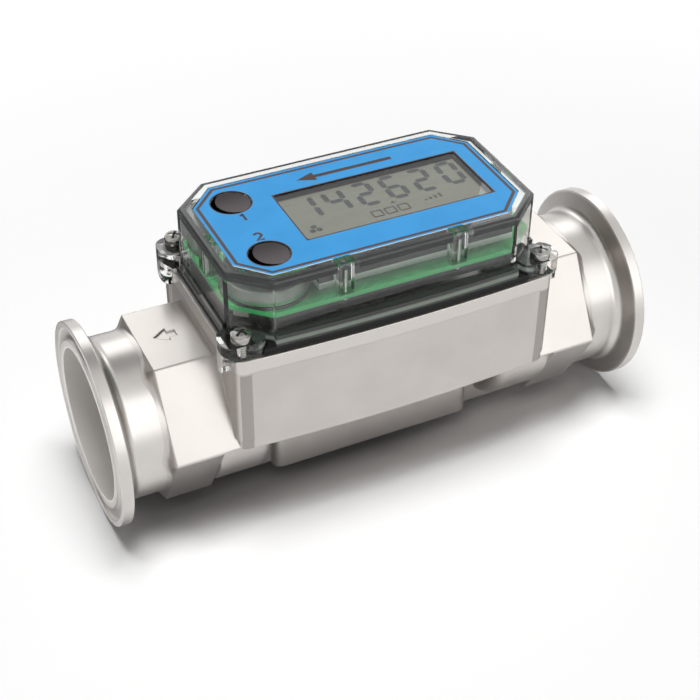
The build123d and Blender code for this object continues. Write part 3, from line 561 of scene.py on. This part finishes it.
def roundedProfile(corners, steps=5):
    # Straight runs through the given (a, b, radius) corners; each corner with a radius becomes a
    # curve that leaves one run and joins the next at equal distances from the corner.
    points = []
    for index, (a, b, radius) in enumerate(corners):
        here = np.array([a, b])
        if radius == 0 or index in (0, len(corners) - 1):
            points.append(here[None])
            continue
        before = np.array(corners[index - 1][:2]) - here
        after = np.array(corners[index + 1][:2]) - here
        start = here + before / np.linalg.norm(before) * radius
        end = here + after / np.linalg.norm(after) * radius
        t = np.linspace(0, 1, steps + 1)[:, None]
        points.append((1 - t) ** 2 * start + 2 * t * (1 - t) * here + t ** 2 * end)
    return np.concatenate(points)


def turnedPoints(profile, steps, axis):
    # A profile of (along, radius) carried round the X or the Z axis.
    angle = np.linspace(0, 2 * np.pi, steps, endpoint=False)[None, :]
    along = profile[:, 0][:, None] + 0 * angle
    first = profile[:, 1][:, None] * np.cos(angle)
    second = profile[:, 1][:, None] * np.sin(angle)
    order = (along, first, second) if axis == "x" else (first, second, along)
    return np.stack(order, -1)


collarShape = {
    "startX": 69.8, "edgeX": 71.2, "endX": 74.9, "leadIn": 0.8, "rings": 34, "steps": 384,
    "apothem": 25.5, "slope": 1.23, "neck": 25.4, "round": 0.25, "sunk": 0.02,
    "cornerSharp": 120.0, "cornerSoft": 34.0, "softOver": 1.6,
    "blendSharp": 0.05, "blend": 1.7, "blendOver": 1.4,
    "dip": 0.5, "dipLength": 0.3, "inside": 2.0, "drawnIn": 1.5,
}


def sunkEnds(points):
    # The casting's sloping ends are drawn in towards the axis, because the collars stand there.
    c = collarShape
    drawn = c["neck"] - c["drawnIn"]
    radius = np.hypot(points[:, 1], points[:, 2])
    slope = (np.abs(points[:, 0]) > c["edgeX"] + 0.1) & (radius > drawn)
    factor = np.where(slope, drawn / np.maximum(radius, 1), 1)
    return points * np.stack([np.ones_like(factor), factor, factor], -1)


def softMost(a, b, width):  # the larger of two values, with a curve of this width where they meet
    near = np.maximum(width - np.abs(a - b), 0) / width
    return np.maximum(a, b) + near * near * width / 4


def hexCollar(name, side):
    # Radius over the angle and the way along: a hexagon whose flats slope in from a straight edge and
    # whose corners grow rounder, and the neck, joined by a curve. The six distances to the flats are
    # summed as powers, which rounds the corners the more the lower the power is.
    c = collarShape
    angle = np.linspace(0, 2 * np.pi, c["steps"], endpoint=False)[None, :]
    rings = np.linspace(c["edgeX"] - c["leadIn"], c["endX"], c["rings"])
    along = np.concatenate([[c["startX"]], rings])[:, None]
    past = along - c["edgeX"]
    flat = c["apothem"] - c["sunk"] - softMost(c["slope"] * past, 0 * along, c["round"] * 2)
    power = c["cornerSharp"] + (c["cornerSoft"] - c["cornerSharp"]) * np.clip(past / c["softOver"], 0, 1)
    turns = np.arange(6)[:, None, None] * np.pi / 3
    toFlat = np.maximum(np.cos(angle[None] - np.pi / 2 - turns), 0)
    hexagon = flat / (toFlat ** power[None]).sum(0) ** (1 / power)
    width = c["blendSharp"] + (c["blend"] - c["blendSharp"]) * np.clip(past / c["blendOver"], 0, 1)
    radius = softMost(hexagon, c["neck"] - c["sunk"] + 0 * angle, width)
    radius = radius - np.clip(along - (c["endX"] - c["dipLength"]), 0, 1) * c["dip"]
    points = np.stack([side * along + 0 * angle, radius * np.cos(angle), radius * np.sin(angle)], -1)
    inner = points.copy()
    inner[..., 1:] *= (c["neck"] - c["inside"]) / radius[..., None]
    points = np.concatenate([points, inner[::-1], points[:1]])
    faces = gridFaces(len(points), c["steps"], True)
    addPiece(name, points, faces, "cast", "meter", angle=40)


smoothCopy("castBody", "meter_body", "cast", "meter", shape=sunkEnds)
smoothCopy("coverShell", "computer_cover", "cover", "meter")
hexCollar("inletCollar", 1)
hexCollar("outletCollar", -1)


ferruleShape = {
    "faceX": 88.9, "hexEndX": 73.2, "rimRadius": 32.0, "rimBand": 3.4, "slope": 20.0,
    "neckRadius": 25.4, "boreRadius": 23.75, "grooveRadius": 28.2, "grooveHalf": 2.1, "grooveDepth": 1.5,
    "edge": 0.3, "root": 2.2, "steps": 192, "grooveSteps": 13,
}


def ferrule(name, node, side):
    # The ferrule's outline turned about the flow axis: bore, grooved face, rim band, sloping back, neck.
    f = ferruleShape
    face, rim, neck = f["faceX"], f["rimRadius"], f["neckRadius"]
    slopeEnd = face - f["rimBand"] - (rim - neck) * math.tan(math.radians(f["slope"]))
    bend = np.linspace(0, np.pi, f["grooveSteps"])
    grooveR = f["grooveRadius"] - f["grooveHalf"] * np.cos(bend)
    grooveX = face - f["grooveDepth"] * np.sin(bend)
    groove = [(float(a), float(b), 0) for a, b in zip(grooveX, grooveR)]
    corners = [
        (f["hexEndX"], f["boreRadius"], 0), (face, f["boreRadius"], f["edge"]), *groove,
        (face, rim, f["edge"]), (face - f["rimBand"], rim, f["edge"]),
        (slopeEnd, neck, f["root"]), (f["hexEndX"], neck, 0), (f["hexEndX"], f["boreRadius"], 0),
    ]
    profile = roundedProfile(corners)
    profile[:, 0] *= side
    points = turnedPoints(profile, f["steps"], "x")
    faces = gridFaces(len(profile), f["steps"], True)
    addPiece(name, points, faces, "turned", "meter", (node,), 30)


ferrule("inletFerrule", "inlet_ferrule", 1)
ferrule("outletFerrule", "outlet_ferrule", -1)
print("casting, cover and ferrules placed")


buttonShape = {
    "cap": 5.95, "top": 55.5, "rimWidth": 1.1, "dish": 0.25, "flange": 7.55, "flangeTop": 53.3, "base": 52.7,
    "steps": 96,
}


def button(name, node, body, side):
    # A dished cap with a rounded edge over a flange, turned about its own upright axis.
    b = buttonShape
    inner = b["cap"] - b["rimWidth"]
    share = np.linspace(0, 1, 9)
    dish = [(b["top"] - b["dish"] * (1 - s * s), inner * s, 0) for s in share[:-1]]
    corners = dish + [
        (b["top"], inner, 0.3), (b["top"], b["cap"], 0.4), (b["flangeTop"], b["cap"], 0.15),
        (b["flangeTop"], b["flange"], 0.15), (b["base"], b["flange"], 0.15), (b["base"], 0, 0),
    ]
    profile = roundedProfile(corners)
    points = turnedPoints(profile, b["steps"], "z") + (buttonPlace[0], side * buttonPlace[1], 0)
    faces = gridFaces(len(profile), b["steps"], True)
    addPiece(name, points, faces, "button", body, (node,))


labelHole = {"cad": 6.65, "drawn": 6.15, "reach": 0.4}  # radii, and how near to the rim a point is moved


def labelHoles(points):
    # The label's two holes drawn in a little: a point near a hole's rim moves toward the hole's middle.
    h = labelHole
    side = np.where(points[:, 1] < 0, -1.0, 1.0)
    across = points[:, :2] - np.stack([buttonPlace[0] + 0 * side, side * buttonPlace[1]], -1)
    radius = np.linalg.norm(across, axis=1)
    near = np.abs(radius - h["cad"]) < h["reach"]
    scaled = across * (np.where(near, h["drawn"] / np.maximum(radius, 1e-6), 1.0)[:, None] - 1)
    return points + np.concatenate([scaled, 0 * radius[:, None]], 1)


smoothCopy("faceLabel", "face_label", "label", "meter", shape=labelHoles)
button("rateButton", "rate_button", "rate_button", 1)
button("totalButton", "total_button", "total_button", -1)


screwShape = {
    "x": 48.8, "y": 26.8, "headBase": 38.2, "sideTop": 40.2, "headTop": 41.3, "head": 3.05, "shank": 1.7,
    "edge": 0.35, "edgeRise": 0.3, "under": 0.15, "dome": 2.2, "turn": 0.6, "end": 23.2, "steps": 128,
    "pitch": 0.8, "threadDepth": 0.2, "threadRunOut": 0.6,
    "crossHalf": 0.33, "crossReach": 2.1, "crossDepth": 0.8, "crossWall": 0.06, "crossEnd": 0.3,
}


def coverScrew(x, y, turn):
    # Head: rings over a low dome and down a straight side, pressed in where a point lies in one of two
    # crossed slots. Shank: a radius that rises and falls once per pitch and once per turn, a thread.
    s = screwShape
    angle = np.linspace(0, 2 * np.pi, s["steps"], endpoint=False)[None, :]
    share = np.linspace(0, 1, 40)[:, None]
    domeR = (s["head"] - s["edge"]) * share
    domeZ = s["headTop"] - (s["headTop"] - s["sideTop"] - s["edgeRise"]) * share ** s["dome"]
    bend = np.linspace(0, np.pi / 2, 6)[1:, None]
    bendR = s["head"] - s["edge"] + s["edge"] * np.sin(bend)
    bendZ = s["sideTop"] + s["edgeRise"] * np.cos(bend)
    under = np.array([
        [s["head"], s["headBase"] + s["under"]], [s["head"] - s["under"], s["headBase"]],
        [s["shank"], s["headBase"]],
    ])
    r = np.concatenate([domeR, bendR, under[:, :1]]) + 0 * angle
    z = np.concatenate([domeZ, bendZ, under[:, 1:]]) + 0 * angle
    across = np.abs(r * np.cos(angle))
    along = np.abs(r * np.sin(angle))
    slots = np.clip((s["crossHalf"] - np.minimum(across, along)) / s["crossWall"] + 0.5, 0, 1)
    slots = slots * np.clip((s["crossReach"] - np.maximum(across, along)) / s["crossEnd"], 0, 1)
    z = z - s["crossDepth"] * slots
    levels = np.linspace(s["headBase"], s["end"], 120)[:, None]
    wave = np.abs((levels / s["pitch"] + angle / (2 * np.pi)) % 1 * 2 - 1)
    grip = np.clip((s["headBase"] - levels) / s["threadRunOut"], 0, 1)
    shankR = s["shank"] - s["threadDepth"] * wave * grip
    r = np.concatenate([r, shankR, np.zeros((1, s["steps"]))])
    z = np.concatenate([z, levels + 0 * angle, np.full((1, s["steps"]), s["end"])])
    points = np.stack([r * np.cos(angle + turn) + x, r * np.sin(angle + turn) + y, z], -1)
    return points, gridFaces(len(points), s["steps"], True)


screwFinish = {
    "color": (182, 180, 175), "darker": (158, 156, 152), "roughness": 0.24, "unevenness": 0.08,
    # cross: the recess painted dark, as painted shade
    "cross": (26, 26, 27), "crossFrom": (38.8, 38.9),
}


def screwLook():
    # Bright steel with the cross recess painted dark, a painted shade in the recess; folding x and y about
    # the middle makes one cross serve four screws.
    f = screwFinish
    s = screwShape
    look = Look("coverScrew")
    x, y, z = look.place()
    u = abs(x) - s["x"]
    w = abs(y) - s["y"]
    cosine, sine = math.cos(s["turn"]), math.sin(s["turn"])
    first = abs(u * cosine + w * sine)
    second = abs(w * cosine - u * sine)
    # painted shade: the cross recess is painted dark
    slots = first.least(second).falls(s["crossHalf"] - 0.05, s["crossHalf"] + 0.05)
    cross = slots * first.most(second).falls(s["crossReach"] - 0.15, s["crossReach"])
    cross = cross * z.rises(*f["crossFrom"])
    cloud = look.noise(1.5, 3.0)
    steel = look.mottle(cloud, f["darker"], f["color"])
    return look.finish(look.surface(
        Base_Color=look.blend(cross, steel, paint(*f["cross"])), Metallic=1 - cross,
        Roughness=uneven(f["roughness"], cloud, f["unevenness"]), Normal=look.bump(cloud, 0.006),
    ))


looks["screw"] = screwLook()
screwPoints = []
screwFaces = []
for count, (sideX, sideY) in enumerate([(-1, -1), (1, -1), (-1, 1), (1, 1)]):
    s = screwShape
    points, faces = coverScrew(sideX * s["x"], sideY * s["y"], sideX * sideY * s["turn"])
    screwFaces.append(faces + count * points.shape[0] * points.shape[1])
    screwPoints.append(points.reshape(-1, 3))
addPiece(
    "coverScrews", np.concatenate(screwPoints), np.concatenate(screwFaces), "screw", "meter",
    ("cover_screws",), 40,
)
print("buttons and screws placed")


displayMarks = {
    "height": 52.23, "color": (26, 29, 34),
    "digits": "142620", "right": (-10.3, -0.7, 8.9, 18.4, 28.0, 37.9),  # x of each figure's right edge
    "low": -1.1, "high": 12.0, "width": 6.9, "stroke": 1.8, "gap": 0.28,
    "rotorSign": (-16.2, -5.6, 2.3), "pointer": [(10.0, -2.6), (11.8, -2.6), (10.9, -1.2)],
    "box": (2.4, -7.2), "boxSize": (3.2, 3.0), "boxStep": 4.4, "boxes": 3, "boxLine": 0.55,
    "row": (20.6, -5.4), "rowStep": 1.7, "rowBars": 4, "barLength": 0.7, "barRise": 0.5, "barWidth": 0.9,
}


def inkLook(name, color):
    # Dull ink in one colour, with a faint grain a few levels to either side.
    look = Look(name)
    grain = look.noise(0.3, 2.0)
    shade = look.blend(grain, paint(*[value - 5 for value in color]), paint(*[value + 4 for value in color]))
    return look.finish(look.surface(
        Base_Color=shade, Roughness=uneven(0.45, grain), Specular_IOR_Level=0.1,
    ))


looks["segments"] = inkLook("displaySegments", displayMarks["color"])
looks["ink"] = inkLook("labelInk", labelPrint["ink"])


def flatShapes(outlines, height):  # closed outlines in mm, each one face at the given height
    points = []
    faces = []
    for outline in outlines:
        faces.append(list(range(len(points), len(points) + len(outline))))
        points += [(float(a), float(b), height) for a, b in outline]
    return points, faces


def bar(start, end, width, pointed=0.4):
    # A stroke between two points with pointed ends, as a display's segments have.
    start, end = np.array(start, float), np.array(end, float)
    along = (end - start) / np.linalg.norm(end - start)
    across = np.array([-along[1], along[0]]) * width / 2
    tip = along * width * pointed
    return [start, start + tip + across, end - tip + across, end, end - tip - across, start + tip - across]


# which of the seven bars each figure lights
segmentNames = {"0": "abcdef", "1": "bc", "2": "abged", "4": "fgbc", "6": "acdefg"}


def digitOutlines(figure, right, low, high, width, stroke, gap):
    # The seven bars of one figure: a top, b and c right, d foot, e and f left, g middle.
    left, middle, half = right - width, (low + high) / 2, stroke / 2
    x0, x1, y0, y1 = left + half, right - half, low + half, high - half
    bars = {
        "a": ((x0 + gap, y1), (x1 - gap, y1)), "g": ((x0 + gap, middle), (x1 - gap, middle)),
        "d": ((x0 + gap, y0), (x1 - gap, y0)), "b": ((x1, y1 - gap), (x1, middle + gap)),
        "c": ((x1, middle - gap), (x1, y0 + gap)), "f": ((x0, y1 - gap), (x0, middle + gap)),
        "e": ((x0, middle - gap), (x0, y0 + gap)),
    }
    return [bar(*bars[name], stroke) for name in segmentNames[figure]]


def frameOutline(x0, y0, x1, y1, line):  # four thin bars round a box
    return [
        bar((x0, y0), (x1, y0), line, 0), bar((x0, y1), (x1, y1), line, 0),
        bar((x0, y0), (x0, y1), line, 0), bar((x1, y0), (x1, y1), line, 0),
    ]


def rotorSign(x, y, size, out=0.55, lobe=0.42):
    # Three round lobes about a point, each a small disc outline; out and lobe are shares of the size.
    lobes = []
    turn = np.linspace(0, 2 * np.pi, 17)[:-1]
    for angle in np.radians([90, 210, 330]):
        middleX = x + size * out * math.cos(angle)
        middleY = y + size * out * math.sin(angle)
        ring = [middleX + size * lobe * np.cos(turn), middleY + size * lobe * np.sin(turn)]
        lobes.append(np.stack(ring, -1))
    return lobes


marks = []
d = displayMarks
for figure, right in zip(d["digits"], d["right"]):
    marks += digitOutlines(figure, right, d["low"], d["high"], d["width"], d["stroke"], d["gap"])
marks += rotorSign(*d["rotorSign"])
marks.append(d["pointer"])
for step in range(d["boxes"]):  # plain boxes side by side under the figures
    left, low = d["box"][0] + d["boxStep"] * step, d["box"][1]
    marks += frameOutline(left, low, left + d["boxSize"][0], low + d["boxSize"][1], d["boxLine"])
for step in range(d["rowBars"]):  # a rising row of bars
    left, low = d["row"][0] + d["rowStep"] * step, d["row"][1]
    marks.append(bar((left, low), (left, low + d["barLength"] + d["barRise"] * step), d["barWidth"], 0))
points, faces = flatShapes(marks, d["height"])
addPiece("displayFigures", points, faces, "segments", "meter")


def arrowOutline(tail, tip, y, shaft, head, reach):  # an arrow along X
    back = tip + reach
    return [(tip, y), (back, y + head / 2), (back, y + shaft / 2), (tail, y + shaft / 2),
            (tail, y - shaft / 2), (back, y - shaft / 2), (back, y - head / 2)]


def penLine(path, width):
    # A line of even width along a path of points: one side out, the other back.
    path = np.array(path, float)
    along = np.gradient(path, axis=0)
    along /= np.linalg.norm(along, axis=1)[:, None]
    across = np.stack([-along[:, 1], along[:, 0]], -1) * width / 2
    return np.concatenate([path + across, (path - across)[::-1]])


labelMarks = {
    "height": 55.73, "line": 0.8, "one": [(-34.9, 6.5), (-33.9, 7.4), (-33.9, 3.9)],
    "twoMiddle": (-34.0, -4.75), "twoRadius": 1.05, "twoFoot": [(-35.1, -7.2), (-32.8, -7.2)],
    "arrow": {"tail": 20.0, "tip": -12.0, "y": 17.6, "shaft": 1.5, "head": 4.6, "reach": 6.0},
}
m = labelMarks
bow = np.radians(np.linspace(160, -40, 11))[:, None]
bow = m["twoRadius"] * np.concatenate([np.cos(bow), np.sin(bow)], 1) + m["twoMiddle"]
two = np.concatenate([bow, m["twoFoot"]])
signs = [arrowOutline(**m["arrow"]), penLine(m["one"], m["line"]), penLine(two, m["line"])]
points, faces = flatShapes(signs, m["height"])
addPiece("labelSigns", points, faces, "ink", "meter")
print("display and label marks placed")


studio = {
    "floorReach": 4.0, "fade": (110, 300), "fadeWide": 0.8, "floorColor": (253, 253, 253),
    "shadeColor": (180, 180, 181), "shadeAcross": (15, 27), "shadeRight": (0, 50), "shadeLeft": (-96, -74),
    # the next entries place a painted dark reflection on the floor, seen by metal only; lift is a painted
    # brightening of the floor in reflections
    "darkPatchPlace": (-130, 205), "darkPatchAlong": (-0.727, 0.687), "darkPatchSlim": 3.4, "darkPatchReach": (200, 300),
    "darkPatchDepth": 0.9, "darkPatchGlow": 0.1, "reflectionLift": 0.05, "ambient": 0.07,
    "roomLight": 0.88,  # what metal sees of the room, less two darker parts: direction, start, end, depth
    "ceiling": ((0.08, 0.42, 0.9), 0.9, 0.985, 0.6), "corner": ((-0.72, 0.68, 0.12), 0.8, 0.95, 0.75),
}


def floorLook():
    # White paper that takes the shadow near the object and turns into plain white further out. It is
    # painted a little darker right under the meter, as the shade of contact. Metal sees it slightly
    # brighter, a painted lift of its reflection, and dark in a long oval behind the meter, a painted dark
    # reflection where nothing lies.
    s = studio
    look = Look("whitePaper")
    x, y, z = look.place()
    away = fromMiddle(x * s["fadeWide"], y).rises(*s["fade"])
    under = abs(y).falls(*s["shadeAcross"]) * x.falls(*s["shadeRight"]) * x.rises(*s["shadeLeft"])
    color = look.blend(under, paint(*s["floorColor"]), paint(*s["shadeColor"]))
    paper = look.node("BsdfDiffuse", None, {"Color": color})
    glow = look.node("Emission", None, {"Strength": 1.0})
    metalSees = look.node("LightPath", out="Is Glossy Ray")
    ground = look.node("MixShader", None, {0: away.most(metalSees * s["reflectionLift"]), 1: paper, 2: glow})
    patchX = x - s["darkPatchPlace"][0]
    patchY = y - s["darkPatchPlace"][1]
    along = patchX * s["darkPatchAlong"][0] + patchY * s["darkPatchAlong"][1]
    across = (patchX * s["darkPatchAlong"][1] - patchY * s["darkPatchAlong"][0]) * s["darkPatchSlim"]
    # a painted dark reflection, seen by metal only
    darkPatch = fromMiddle(along, across).falls(*s["darkPatchReach"]) * metalSees * s["darkPatchDepth"]
    dark = look.node("Emission", None, {"Strength": s["darkPatchGlow"]})
    return look.finish(look.node("MixShader", None, {0: darkPatch, 1: ground, 2: dark}))


reach = studio["floorReach"]
floorMesh = bpy.data.meshes.new("floor")
floorCorners = [(-reach, -reach, 0), (reach, -reach, 0), (reach, reach, 0), (-reach, reach, 0)]
floorMesh.from_pydata(floorCorners, [], [(0, 1, 2, 3)])
floorMesh.materials.append(floorLook())
floor = bpy.data.objects.new("floor", floorMesh)
scene.collection.objects.link(floor)

world = bpy.data.worlds.new("studioWorld")
scene.world = world
sky = Look(world, "OutputWorld")
path = sky.node("LightPath", out="Is Camera Ray")
plain = path.most(path.side("Is Transmission Ray"))
toward = sky.node("SeparateXYZ", None, {0: sky.node("TexCoord", out="Generated")})
room = studio["roomLight"]
for (partX, partY, partZ), start, end, depth in (studio["ceiling"], studio["corner"]):
    share = toward.side("X") * partX + toward.side("Y") * partY + toward.side("Z") * partZ
    room = room - share.rises(start, end) * depth
seen = plain.most(path.side("Is Glossy Ray") * room)
strength = seen * (1 - studio["ambient"]) + studio["ambient"]
sky.finish(sky.node("Background", None, {"Color": paint(255, 255, 255), "Strength": strength}))


def facing(place, toward, roll=0.0):
    # The matrix of a lamp or camera at a place, its back turned toward a direction, rolled about it.
    back = np.array(toward) / np.linalg.norm(toward)
    level = np.cross((0, 0, 1), back)
    level /= np.linalg.norm(level)
    upright = np.cross(back, level)
    right = level * math.cos(roll) + upright * math.sin(roll)
    up = upright * math.cos(roll) - level * math.sin(roll)
    rows = np.stack([right, up, back, np.array(place)], 1)
    return Matrix(np.vstack([rows, (0, 0, 0, 1)]).tolist())


lamps = {  # direction, distance, width and height in m, brightness of its face
    "keyLight": ((-0.03, -0.02, 1.0), 1.5, 0.7, 0.7, 13.9),
    "endLight": ((-0.96, -0.22, 0.16), 1.2, 0.5, 0.4, 3.2),
    "frontCard": ((0.34, -0.84, 0.56), 1.4, 1.0, 1.4, 1.28),
    "backCard": ((0.05, 0.80, 0.62), 1.4, 0.5, 0.75, 1.6),
    "sideCard": ((0.64, 0.62, 0.54), 1.4, 0.5, 0.75, 1.7),
}
for name, (direction, distance, width, height, brightness) in lamps.items():
    lamp = bpy.data.lights.new(name, "AREA")
    lamp.shape = "RECTANGLE"
    lamp.size = width
    lamp.size_y = height
    lamp.energy = brightness * math.pi * width * height
    made = bpy.data.objects.new(name, lamp)
    toward = np.array(direction) / np.linalg.norm(direction)
    made.matrix_world = facing(toward * distance, toward)
    made.visible_glossy = name.endswith("Card")  # metal shows the cards and none of the lights
    made.visible_diffuse = name.endswith("Light")
    made.visible_transmission = False  # a lamp seen through the cover would wash the display out
    scene.collection.objects.link(made)

view = {
    "azimuth": -25.98, "elevation": 38.508, "roll": 0.701, "place": (-0.1635, -0.3319, 0.3252),
    "lens": 75.71, "sensor": 36, "nearest": 0.01,
}
azimuth, elevation = math.radians(view["azimuth"]), math.radians(view["elevation"])
outward = (
    math.sin(azimuth) * math.cos(elevation), -math.cos(azimuth) * math.cos(elevation), math.sin(elevation),
)
lens = bpy.data.cameras.new("photoCamera")
lens.lens = view["lens"]
lens.sensor_width = view["sensor"]
lens.clip_start = view["nearest"]
camera = bpy.data.objects.new("photoCamera", lens)
camera.matrix_world = facing(view["place"], outward, math.radians(view["roll"]))
scene.collection.objects.link(camera)
scene.camera = camera

print("floor, light and camera set")
